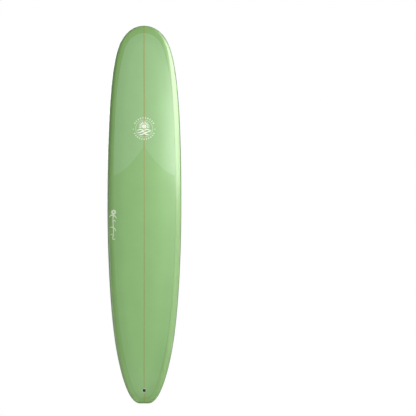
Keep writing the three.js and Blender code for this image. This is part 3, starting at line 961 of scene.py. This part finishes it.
def glass_finish(name, tint, patch_tone, band, patch_coat):
    material, tree = finish(name, 0.42, specular_ior_level=0.3, coat_roughness=0.13, **GLOSS)
    point = own_point(tree)
    x, _, z = parts(tree, point)
    lap_band = wire(tree, "Attribute", attribute_name="lap_band").outputs["Fac"]
    cloth = wire(tree, "Attribute", attribute_name="cloth").outputs["Vector"]
    patch = reckon(tree, "MINIMUM", band(tree, x, z), reckon(tree, "MULTIPLY", lap_band, -1.0))
    resin = feed_resin(
        tree, Point=point, Cloth=cloth, Tint=tint, Patch_Tone=patch_tone,
        Lap_Band=lap_band, Patch_Band=patch, Stringer=1.0,
    )
    edge_on = wire(tree, "LayerWeight", {"Blend": 0.5}).outputs["Facing"]
    # Where the surface is seen edge-on, mostly on the rails, its colour is darkened. This is partly the
    # deeper tint of a longer path through the resin and partly painted shade on the rails.
    deeper_and_shaded = tinted(tree, resin["Colour"], EDGE_ON_SHADE_TINT)
    colour = blend(tree, ramp(tree, edge_on, 0.05, 0.60), resin["Colour"], deeper_and_shaded)
    coat = reckon(tree, "MULTIPLY_ADD", resin["Patch"], patch_coat - 1, 1.0)
    coat = reckon(tree, "MULTIPLY", coat, ramp(tree, edge_on, 0.35, 0.80, 1.0, EDGE_ON_COAT))
    return dress(material, colour, resin["Height"], coat_weight=coat)


deck_green = glass_finish("green_deck_gloss", DECK_GREEN, DECK_PATCH_TONE, arch_band, 0.6)
bottom_green = glass_finish("green_bottom_gloss", BOTTOM_GREEN, FIN_PATCH_TONE, notch_band, 0.8)
hand_over(deck_glass, deck_green, "deck_glass", "deck_lamination")
hand_over(bottom_glass, bottom_green, "bottom_glass", "bottom_lamination")

# %% [markdown]
# ## Marks printed on rice paper
#
# A board's marks are printed on thin paper and laid under the gloss, where the paper vanishes
# and only the ink shows. Each is drawn flat from two kinds of stroke: round dots, and narrow
# grids whose long edges are moved to either side of a line. Then it is projected onto the
# glass and given a film's thickness. All the marks are plain ones: a sun over waves in a ring
# of dots, a sprig of leaves, an oval with bars, and a small sprout.

# %% Drawing dots and strokes
def new_drawing(name):
    """An empty mesh in edit mode. What is added now lands in it."""
    bpy.ops.object.select_all(action="DESELECT")
    bpy.ops.mesh.primitive_plane_add(size=MM, location=(0, 0, 0))
    piece = started(name)
    edit(piece, "VERT")
    bpy.ops.mesh.delete(type="VERT")
    return piece


def dot(x, z, radius, sides=14):
    bpy.ops.mesh.primitive_circle_add(
        vertices=sides, radius=radius * MM, fill_type="NGON", location=(x * MM, z * MM, 0)
    )


def stroke(line, widths):
    """A brush stroke along (x, z) points in millimetres, with a width at each."""
    line = np.array(line, float)
    widths = np.broadcast_to(np.array(widths, float), len(line))
    bpy.ops.mesh.primitive_grid_add(x_subdivisions=len(line) - 1, y_subdivisions=1, size=1)
    mesh = bmesh.from_edit_mesh(bpy.context.object.data)
    chosen = [v for v in mesh.verts if v.select]
    chosen.sort(key=lambda v: (round(v.co.x, 4), v.co.y))
    along = np.gradient(line, axis=0)
    if np.allclose(line[0], line[-1]):
        along[0] = along[-1] = along[0] + along[-1]
    along /= np.linalg.norm(along, axis=1)[:, None]
    across = np.stack([-along[:, 1], along[:, 0]], axis=1)
    for i, vertex in enumerate(chosen):
        k, side = i // 2, i % 2 - 0.5
        spot = (line[k] + across[k] * widths[k] * side) * MM
        vertex.co = (spot[0], spot[1], 0)
    bmesh.update_edit_mesh(bpy.context.object.data)


print("dots and strokes ready")

# %% Arcs, sweeps and leaves
def arc(x, z, radius, start=0, stop=360, count=72):
    angle = np.radians(np.linspace(start, stop, count + 1))
    return np.stack([x + radius * np.cos(angle), z + radius * np.sin(angle)], axis=1)


def sweep(*points, count=14):
    """A smooth line through two, three or four control points."""
    t = np.linspace(0, 1, count + 1)[:, None]
    p = [np.array(q, float) for q in points]
    while len(p) > 1:
        p = [a * (1 - t) + b * t for a, b in zip(p, p[1:])]
    return p[0]


def leaf(*points, width):
    """A stroke that swells in its middle, as a leaf does."""
    line = sweep(*points)
    share = np.linspace(0, 1, len(line))
    stroke(line, width * (0.12 + 0.88 * np.sin(np.pi * share**0.8) ** 0.9))


print("points on a full circle:", len(arc(0, 0, 1)))

# %% Laying a drawing on the glass
INK_LIFT, INK_THICK = 0.00028, 0.00012


def lay_down(piece, face, glass):
    """Stands the drawing up, projects it onto the glass and gives it a film's thickness."""
    bpy.ops.mesh.select_all(action="SELECT")
    bpy.ops.mesh.remove_doubles(threshold=0.00002)
    if face == "bottom":
        bpy.ops.mesh.flip_normals()
    bpy.ops.object.mode_set(mode="OBJECT")
    piece.rotation_euler = (math.radians(90), 0, 0)
    piece.location = (0, 0.2 * OUT[face] - 0.1, 0)
    settle(piece)
    toward = {"use_negative_direction": face == "bottom", "use_positive_direction": face == "deck"}
    apply(
        piece, "SHRINKWRAP", target=glass, wrap_method="PROJECT", use_project_y=True,
        wrap_mode="ABOVE_SURFACE", offset=INK_LIFT, **toward,
    )
    apply(piece, "SOLIDIFY", thickness=INK_THICK, offset=-1)
    return settle(piece, sharp=50)


print("ink stands", INK_LIFT, "above the glass")

# %% [markdown]
# ## Sun and waves, for both faces
#
# The round emblem is drawn once by a function and laid on the deck and on the bottom. A ring
# of dots and short ticks runs round a thin circle, and inside it a sun with rays stands over
# three waves that swell and fade.

# %% Emblems
EMBLEM_Z, SUN_Z = 662, 678
WAVES = ((-10, 55), (-27, 50), (-43, 38))


def spoke(turn, near, far, z):
    """The two ends of a line that points away from the middle line at a height."""
    c, s = math.cos(turn), math.sin(turn)
    return [(near * c, z + near * s), (far * c, z + far * s)]


def draw_emblem(name):
    piece = new_drawing(name)
    marks = [*np.linspace(150, 30, 10), *np.linspace(207, 333, 11)]
    for i, turn in enumerate(np.radians(marks)):
        if i % 3:
            stroke(spoke(turn, 75, 89, EMBLEM_Z), 7.5)
        else:
            dot(*spoke(turn, 82, 82, EMBLEM_Z)[0], 6.5)
    for x in (-83, 83):
        dot(x, EMBLEM_Z - 5, 4.5)
    stroke(arc(0, EMBLEM_Z, 65), 3.2)
    dot(0, SUN_Z, 17, sides=40)
    for turn in np.radians(np.linspace(-15, 195, 11)):
        stroke(spoke(turn, 22, 42, SUN_Z), [7.5, 3.5])
    for z, reach in WAVES:
        x = np.linspace(-reach, reach, 37)
        height = EMBLEM_Z + z + 4.0 * np.sin(x / 8.0 + z / 9)
        stroke(np.stack([x, height], axis=1), 9.0 * np.cos(x / reach * 1.45) ** 0.5)
    return piece


deck_emblem = lay_down(draw_emblem("deck_emblem_ink"), "deck", deck_glass)
bottom_emblem = lay_down(draw_emblem("bottom_emblem_ink"), "bottom", bottom_glass)
print("emblem faces:", len(deck_emblem.data.polygons))

# %% [markdown]
# ## Sprig by the rail, and the marks on the bottom
#
# A sprig with a round seed head hangs by the left rail of the deck. On the bottom, down the
# centre line, come a tone-on-tone oval, a small sprout, and the slip of paper on which the
# shaper pencils a board's numbers, left blank here.

# %% Sprig by the rail
SPRIG_LEAVES = [
    ((-238, -6), (-252, 6), (-273, -22), 9),
    ((-236, -2), (-222, -10), (-211, -30), 8),
    ((-239, -46), (-226, -36), (-219, -58), 7),
    ((-238, -100), (-250, -92), (-264, -98), 7),
    ((-238, -98), (-224, -104), (-217, -130), 8),
    ((-240, -150), (-254, -146), (-260, -160), 6),
    ((-243, -186), (-232, -192), (-222, -184), 7),
]


def leaves(rows):
    for *line, width in rows:
        leaf(*line, width=width)


sprig = new_drawing("rail_sprig_ink")
stroke(arc(-235, 20, 12), 13.0)
for turn in np.radians(np.arange(0, 360, 45)):
    c, s = math.cos(turn), math.sin(turn)
    leaf((-235 + 11 * c, 20 + 11 * s), (-235 + 21 * c, 20 + 21 * s), width=8)
stem = sweep((-236, 2), (-250, -60), (-226, -110), (-243, -188), count=30)
stroke(stem, 4.2 + 3.2 * np.sin(np.linspace(0, 5 * np.pi, 31)) ** 2)
leaves(SPRIG_LEAVES)
lay_down(sprig, "deck", deck_glass)
print("sprig size:", [round(v, 4) for v in sprig.dimensions])

# %% Oval badge
BADGE_Z, BADGE_HALF = -592, (48.5, 26.5)
badge = new_drawing("oval_badge_ink")
stroke(arc(0, 0, 1) * BADGE_HALF + (0, BADGE_Z), 9.5)
for x, reach in ((-27, 12), (-9, 15), (9, 15), (27, 12)):
    z = np.linspace(-reach, reach, 13)
    stroke(np.stack([x + 2.2 * np.sin(z / 3.4), BADGE_Z + z], axis=1), 8.0)
lay_down(badge, "bottom", bottom_glass)
print("badge size:", [round(v, 4) for v in badge.dimensions])

# %% Sprout
SPROUT_Z = -769
SPROUT_LEAVES = [
    ((12, -778), (28, -766), (40, -796), 10),
    ((3, -800), (14, -794), (24, -808), 9),
    ((2, -792), (-8, -788), (-19, -804), 9),
    ((1, -814), (12, -812), (18, -824), 8),
]
sprout = new_drawing("sprout_ink")
stroke(arc(0, SPROUT_Z, 9.5, count=36), 6.5)
stroke(sweep((1, -781), (4, -796), (0, -824)), 3.4)
leaves(SPROUT_LEAVES)
lay_down(sprout, "bottom", bottom_glass)
print("sprout size:", [round(v, 4) for v in sprout.dimensions])

# %% Slip of paper
SLIP = {"x": 4, "z": -884, "wide": 27, "long": 91}
slip = new_drawing("numbers_slip_ink")
round_end = SLIP["wide"] / 2
straight = SLIP["long"] / 2 - round_end
for end, start in ((straight, 0), (-straight, 180)):
    line = arc(SLIP["x"], SLIP["z"] + end, round_end / 2, start, start + 180, count=18)
    stroke(line, round_end)
middle = [(SLIP["x"], SLIP["z"] + h) for h in np.linspace(-straight, straight, 7)]
stroke(middle, SLIP["wide"])
lay_down(slip, "bottom", bottom_glass)
print("slip size:", [round(v, 4) for v in slip.dimensions])

# %% [markdown]
# ## Inks
#
# Ink under resin takes on a little of the board's green, more so where it is thin. Where the
# emblem crosses the stringer, the wood's colour comes through. The shader keeps the same
# gloss coat as the glass, because the ink lies under it.

# %% Ink materials
INK_EDGE = (0.0028, 0.0036)
WHITE_INK, THIN_INK, WOODY_INK = paint(242, 245, 232), paint(206, 224, 190), paint(214, 196, 150)


def ink_finish(name, colour_of):
    """A printed mark under gloss. colour_of gives its colour from the place on the board."""
    material, tree = finish(name, 0.45, coat_roughness=0.10, **GLOSS)
    point = own_point(tree)
    x, _, z = parts(tree, point)
    fibre = noise(tree, point, 420.0, 3.0)
    speck = grey(tree, reckon(tree, "MULTIPLY_ADD", fibre, 0.14, 0.93))
    return dress(material, tinted(tree, colour_of(tree, x, z, fibre), speck), fibre, 0.00002)


def from_point(tree, x, z, at_x, at_z):
    """Distance on the board from a point."""
    return hypotenuse(tree, reckon(tree, "SUBTRACT", x, at_x), reckon(tree, "SUBTRACT", z, at_z))


print("ink helpers ready")

# %% Colours of the deck's prints
def emblem_colour(tree, x, z, fibre):
    outer = ramp(tree, from_point(tree, x, z, 0.0, EMBLEM_Z * MM), 0.056, 0.060)
    over_wood = ramp(tree, reckon(tree, "ABSOLUTE", x), *INK_EDGE, 0.55, 0.0)
    return blend(tree, over_wood, blend(tree, outer, WHITE_INK, THIN_INK), WOODY_INK)


def sprig_colour(tree, x, z, fibre):
    return blend(tree, ramp(tree, fibre, 0.35, 0.65), paint(196, 214, 180), paint(222, 232, 208))


print("deck prints: emblem and sprig")

# %% Colours of the bottom's prints
def badge_colour(tree, x, z, fibre):
    beside_wood = ramp(tree, reckon(tree, "ABSOLUTE", x), *INK_EDGE)
    return blend(tree, beside_wood, paint(120, 134, 84), paint(108, 160, 100))


def sprout_colour(tree, x, z, fibre):
    away = ramp(tree, from_point(tree, x, z, 0.0, SPROUT_Z * MM), 0.0130, 0.0138)
    return blend(tree, away, paint(92, 74, 58), paint(96, 112, 96))


def slip_colour(tree, x, z, fibre):
    """White with faint rules in its middle, a green edge and a black cap."""
    across = reckon(tree, "ABSOLUTE", reckon(tree, "SUBTRACT", x, SLIP["x"] * MM))
    up = reckon(tree, "SUBTRACT", z, SLIP["z"] * MM)
    off = reckon(tree, "ABSOLUTE", up)
    past = reckon(tree, "MAXIMUM", reckon(tree, "SUBTRACT", off, straight * MM), 0.0)
    out = hypotenuse(tree, across, past)
    edge = ramp(tree, out, (round_end - 2.2) * MM, (round_end - 1.6) * MM)
    rules = reckon(tree, "SINE", reckon(tree, "MULTIPLY", up, 1250.0))
    short = ramp(tree, across, 0.0068, 0.0074, 0.45, 0.0)
    ruled = reckon(tree, "MULTIPLY", ramp(tree, rules, 0.55, 0.8), short)
    ruled = reckon(tree, "MULTIPLY", ruled, ramp(tree, off, 0.022, 0.024, 1.0, 0.0))
    colour = blend(tree, ruled, paint(250, 250, 250), paint(150, 146, 156))
    colour = blend(tree, edge, colour, paint(98, 128, 84))
    return blend(tree, ramp(tree, up, 0.0310, 0.0316), colour, paint(34, 32, 34))


print("bottom prints: badge, sprout and slip")

# %% Hand over the prints
white_ink = ink_finish("white_ink_under_gloss", emblem_colour)
sprig_ink = ink_finish("pale_ink_under_gloss", sprig_colour)
hand_over(deck_emblem, white_ink, "white_print", "deck_emblem")
hand_over(bottom_emblem, white_ink, "white_print", "bottom_emblem")
hand_over(sprig, sprig_ink, "white_print", "rail_sprig")
hand_over(badge, ink_finish("green_ink_under_gloss", badge_colour), "tonal_print", "bottom_badge")
hand_over(sprout, ink_finish("dark_ink_under_gloss", sprout_colour), "dark_print", "leaf_mark")
hand_over(slip, ink_finish("slip_under_gloss", slip_colour), "label_print", "size_label")

# %% [markdown]
# ## Plastic, steel and setting resin
#
# Moulded plastic has a fine grain and a slightly rubbed sheen that varies with that grain. The steel bar
# is drawn wire, so its marks run along it. Its colour is kept far darker than bare steel, as a painted
# shade of the cup's hollow. The beds use the shared resin group with a paler tint, and a thin painted
# shadow line where they meet the glass.

# %% Plastic for the fin box and the leash cup
def plastic_colour(tree, dark, light):
    """A fine mottle, and the colour that it gives."""
    mottle = noise(tree, own_point(tree), 900.0, 4.0)
    return mottle, blend(tree, ramp(tree, mottle, 0.3, 0.7), dark, light)


def box_finish():
    material, tree = finish("black_moulded_plastic", 0.6, specular_ior_level=0.08)
    mottle, colour = plastic_colour(tree, (0.0005, 0.0005, 0.0005, 1), (0.002, 0.002, 0.002, 1))
    rubbed = reckon(tree, "MULTIPLY_ADD", mottle, 0.2, 0.4)
    return dress(material, colour, mottle, 0.00004, roughness=rubbed)


def cup_finish():
    material, tree = finish("leash_cup_plastic", 0.5, specular_ior_level=0.3)
    mottle, pale = plastic_colour(tree, paint(182, 178, 178), paint(196, 193, 192))
    x, _, z = parts(tree, own_point(tree))
    # Painted shade: inside the lip the pale plastic is painted near black, standing in for the shade in
    # the bowl.
    inner = ramp(tree, from_point(tree, x, z, 0.0, PLUG_Z), 0.0112, 0.0118, 1.0, 0.0)
    return dress(material, blend(tree, inner, pale, (0.003, 0.003, 0.003, 1)), mottle, 0.00003)


print("plastics ready")

# %% Steel bar and setting resin
def bar_finish():
    material, tree = finish("drawn_steel", 0.4, metallic=1.0)
    marks = streaks(tree, own_point(tree), (60.0, 2600.0, 2600.0), 2.0)
    # Painted shade: the steel is kept far darker than bare steel, standing in for the shade of the cup's
    # hollow.
    colour = blend(tree, marks, (0.07, 0.07, 0.07, 1), (0.13, 0.13, 0.13, 1))
    rubbed = reckon(tree, "MULTIPLY_ADD", marks, 0.25, 0.32)
    return dress(material, colour, marks, 0.00002, roughness=rubbed)


def plain_resin(tree, tint):
    """The shared resin with no lap, no patch and no stringer."""
    point = own_point(tree)
    return feed_resin(tree, Point=point, Cloth=point, Tint=tint, Lap_Band=-1.0, Patch_Band=-1.0)


def bed_finish():
    material, tree = finish("setting_resin", 0.4, coat_weight=1.0, coat_roughness=0.12)
    resin = plain_resin(tree, paint(160, 204, 138))
    edge = wire(tree, "Attribute", attribute_name="from_edge").outputs["Fac"]
    # Painted shadow: the bed's outer edge is darkened where it meets the glass. It stands in for the shade
    # of a gap that the flush bed does not have.
    colour = blend(tree, ramp(tree, edge, 0.04, 0.14, 0.2, 0.0), resin["Colour"], DARK_LINE_AND_SHADOW_TONE)
    return dress(material, colour, resin["Height"])


print("steel and resin ready")

# %% Hand over the fittings
setting_resin = bed_finish()
hand_over(fin_box, box_finish(), "box_plastic", "fin_box")
hand_over(fin_bed, setting_resin, "set_resin", "fin_box_bed")
hand_over(cup, cup_finish(), "plug_plastic", "leash_plug_cup")
hand_over(bar, bar_finish(), "plug_steel", "leash_plug_pin")
hand_over(cup_bed, setting_resin, "set_resin", "leash_plug_bed")

# %% [markdown]
# ## What lies inside
#
# The foam halves, the stringer and the two cloth patches keep their CAD shapes, since the
# glass covers them. They still get honest finishes: blown foam with fine cells, straight
# grained wood, and cloth soaked in green resin.

# %% Materials of the CAD nodes that stay
def foam_finish():
    material, tree = finish("blown_foam", 0.85)
    cell = {"Vector": own_point(tree), "Scale": 700.0}
    cells = wire(tree, "TexVoronoi", cell).outputs["Distance"]
    colour = blend(tree, ramp(tree, cells, 0.1, 0.7), paint(246, 242, 228), paint(232, 227, 210))
    return dress(material, colour, cells, 0.0001)


def wood_finish():
    material, tree = finish("stringer_wood", 0.55)
    grain = streaks(tree, own_point(tree), (700.0, 260.0, 9.0), 4.0)
    colour = blend(tree, ramp(tree, grain, 0.3, 0.7), paint(196, 158, 104), paint(160, 118, 70))
    sawn = reckon(tree, "MULTIPLY_ADD", grain, 0.2, 0.45)
    return dress(material, colour, grain, 0.0001, roughness=sawn)


def patch_finish():
    material, tree = finish("green_cloth_patch", 0.5)
    resin = plain_resin(tree, paint(122, 166, 98))
    return dress(material, resin["Colour"], resin["Height"])


foam, patch_cloth = foam_finish(), patch_finish()
kept = {"foam_core_left": foam, "foam_core_right": foam, "stringer": wood_finish()}
kept |= {"deck_patch": patch_cloth, "fin_patch": patch_cloth}
for name, material in kept.items():
    node = frame["nodes"][name]
    node.data.materials.clear()
    node.data.materials.append(material)
print("inner pieces finished:", sorted(kept))

# %% [markdown]
# ## Camera
#
# A long lens from far away keeps the outline true, as for a catalogue. The camera looks level
# at the deck, with the board standing left of the middle of the picture.

# %% Camera
LENS, DISTANCE, ASIDE, ABOVE = 200, 17.82, 0.490, 0.052
bpy.ops.object.camera_add(location=(ASIDE, -DISTANCE, ABOVE), rotation=(math.radians(90), 0, 0))
camera = bpy.context.object
camera.name = "catalogue_camera"
camera.data.lens = LENS
camera.data.clip_end = 100
camera.data.dof.use_dof = False
bpy.context.scene.camera = camera
print("picture width at the board:", round(camera.data.sensor_width / LENS * DISTANCE, 3))

# %% [markdown]
# ## Studio
#
# A pale floor, a pale sky that is brighter overhead, and a broad lamp before each face give
# the even light. Tall soft screens that only the gloss mirrors give the highlights. The main
# screen stands to the right of the deck, close to the lens's line at one end, and fades
# towards that end and towards the floor, so the highlight swells along the rail of the nose
# half. A low dim screen stands to the left. Copies turned half round light the bottom in the
# same way. What the camera sees past the board is plain white.

# %% Floor
WHITE, PALE = (1, 1, 1, 1), (0.80, 0.80, 0.79, 1)


def white_to_camera(tree, shader_output):
    """White to the camera, and the given shader to every other ray."""
    seen = wire(tree, "LightPath").outputs["Is Camera Ray"]
    white = wire(tree, "Emission", {"Color": WHITE, "Strength": 1.0}).outputs[0]
    mixed = wire(tree, "MixShader", {0: seen, 1: shader_output, 2: white}).outputs[0]
    tree.links.new(mixed, tree.nodes["Material Output"].inputs["Surface"])


bpy.ops.mesh.primitive_plane_add(size=14, location=(0, 0, -HALF - MM))
floor = started("studio_floor")
floor_material, floor_tree = finish("pale_floor", 0.9, base_color=PALE)
white_to_camera(floor_tree, floor_tree.nodes["Principled BSDF"].outputs[0])
floor.data.materials.append(floor_material)
print("floor laid at", round(floor.location.z, 3))

# %% Soft screens
SCREEN_POWER, LOW_POWER = 9.3, 6.0
SCREEN_ENDS, LOW_ENDS = ((0.15, -2.2), (2.3, 0.15)), ((-2.4, 0.5), (-2.1, -0.9))
RISE = [(-0.51, -0.24, 0.0, 1.0), (-0.46, -0.20, 0.3, 1.0), (-0.20, 0.10, 1.0, 0.85)]
NEAR_EDGE = (-0.05, 0.12, 1.0, 0.1)
DECK_HEIGHTS = [(-0.5, 0.1, 0.7, 1.0), (0.02, 0.46, 0.24, 0.80)]
DECK_HEIGHTS += [(0.46, 1.0, 1.0, 1.35), (1.25, 2.1, 1.0, 0.35)]
BOTTOM_HEIGHTS = [(0.05, 0.75, 0.24, 1.0)]
LOW_ACROSS, LOW_UP = [(-0.3, 0.5, 1.0, 0.0)], [(0.1, 0.5, 1.0, 0.0)]


def screen_material(name, power, across, upward):
    """A glowing cloth. across and upward are (low, high, at low, at high) fades on the screen."""
    material, tree = finish(name, 0.5)
    place = parts(tree, own_point(tree))
    strength = power
    for socket, fades in ((place[0], across), (place[1], upward)):
        for fade in fades:
            strength = reckon(tree, "MULTIPLY", strength, ramp(tree, socket, *fade))
    glow = wire(tree, "Emission", {"Color": WHITE, "Strength": strength})
    tree.links.new(glow.outputs[0], tree.nodes["Material Output"].inputs["Surface"])
    return material


def stand_screen(name, material, start, stop, low, high, half_turn):
    """A screen from one floor point to another. half_turn puts it on the board's other side."""
    flip = -1 if half_turn else 1
    start, stop = Vector(start) * flip, Vector(stop) * flip
    middle, run = (start + stop) / 2, stop - start
    bpy.ops.mesh.primitive_plane_add(size=1, location=(middle.x, middle.y, (low + high) / 2))
    screen = started(name)
    screen.scale = (run.length, high - low, 1)
    screen.rotation_euler = (math.radians(90), 0, math.atan2(run.y, run.x))
    screen.data.materials.append(material)
    screen.visible_camera = screen.visible_diffuse = screen.visible_shadow = False


def main_screen(name, low, high, across, heights, half_turn):
    """A tall screen. heights are fades between two heights in metres."""
    tall = high - low
    shares = [((a - low) / tall - 0.5, (b - low) / tall - 0.5, p, q) for a, b, p, q in heights]
    glow = screen_material(name + "_glow", SCREEN_POWER, across, shares)
    stand_screen(name, glow, *SCREEN_ENDS, low, high, half_turn)


main_screen("deck_screen", -1.3, 2.2, RISE, DECK_HEIGHTS, False)
main_screen("bottom_screen", -1.6, 2.3, [*RISE, NEAR_EDGE], BOTTOM_HEIGHTS, True)
low_glow = screen_material("low_screen_glow", LOW_POWER, LOW_ACROSS, LOW_UP)
for side_name, half_turn in (("deck", False), ("bottom", True)):
    stand_screen(f"low_screen_{side_name}", low_glow, *LOW_ENDS, -1.6, 0.6, half_turn)
print("main screens:", SCREEN_POWER, "low screens:", LOW_POWER)

# %% World, broad lamps and colour
AMBIENT_LEFT, AMBIENT_RIGHT, OVERHEAD = 0.04, 0.15, 0.45
LAMPS = {"front": ((2.3, -3.7, 0.9), 170), "back": ((-2.3, 3.7, 0.9), 178)}
LAMP_SIZE = 2.5

world = bpy.data.worlds.new("soft_studio")
world.use_nodes = True
bpy.context.scene.world = world
sky = world.node_tree
way = parts(sky, wire(sky, "TexCoord").outputs["Generated"])
aside = reckon(sky, "MULTIPLY_ADD", way[2], -0.5, way[0])
overhead = ramp(sky, way[2], 0.25, 0.95, 0.0, OVERHEAD)
overhead = reckon(sky, "ADD", overhead, ramp(sky, aside, 0.0, 1.0, AMBIENT_LEFT, AMBIENT_RIGHT))
seen = wire(sky, "LightPath").outputs["Is Camera Ray"]
backdrop = sky.nodes["Background"]
backdrop.inputs["Color"].default_value = WHITE
sky.links.new(reckon(sky, "MAXIMUM", overhead, seen), backdrop.inputs["Strength"])

for side_name, (place, watts) in LAMPS.items():
    bpy.ops.object.light_add(type="AREA", location=place)
    lamp = bpy.context.object
    lamp.name = f"soft_light_{side_name}"
    lamp.data.size = LAMP_SIZE
    lamp.data.energy = watts
    lamp.visible_glossy = False
    lamp.rotation_euler = (-lamp.location).to_track_quat("-Z", "Y").to_euler()
bpy.context.scene.view_settings.view_transform = "Standard"
print("ambient:", AMBIENT_LEFT, "to", AMBIENT_RIGHT, "overhead:", OVERHEAD)
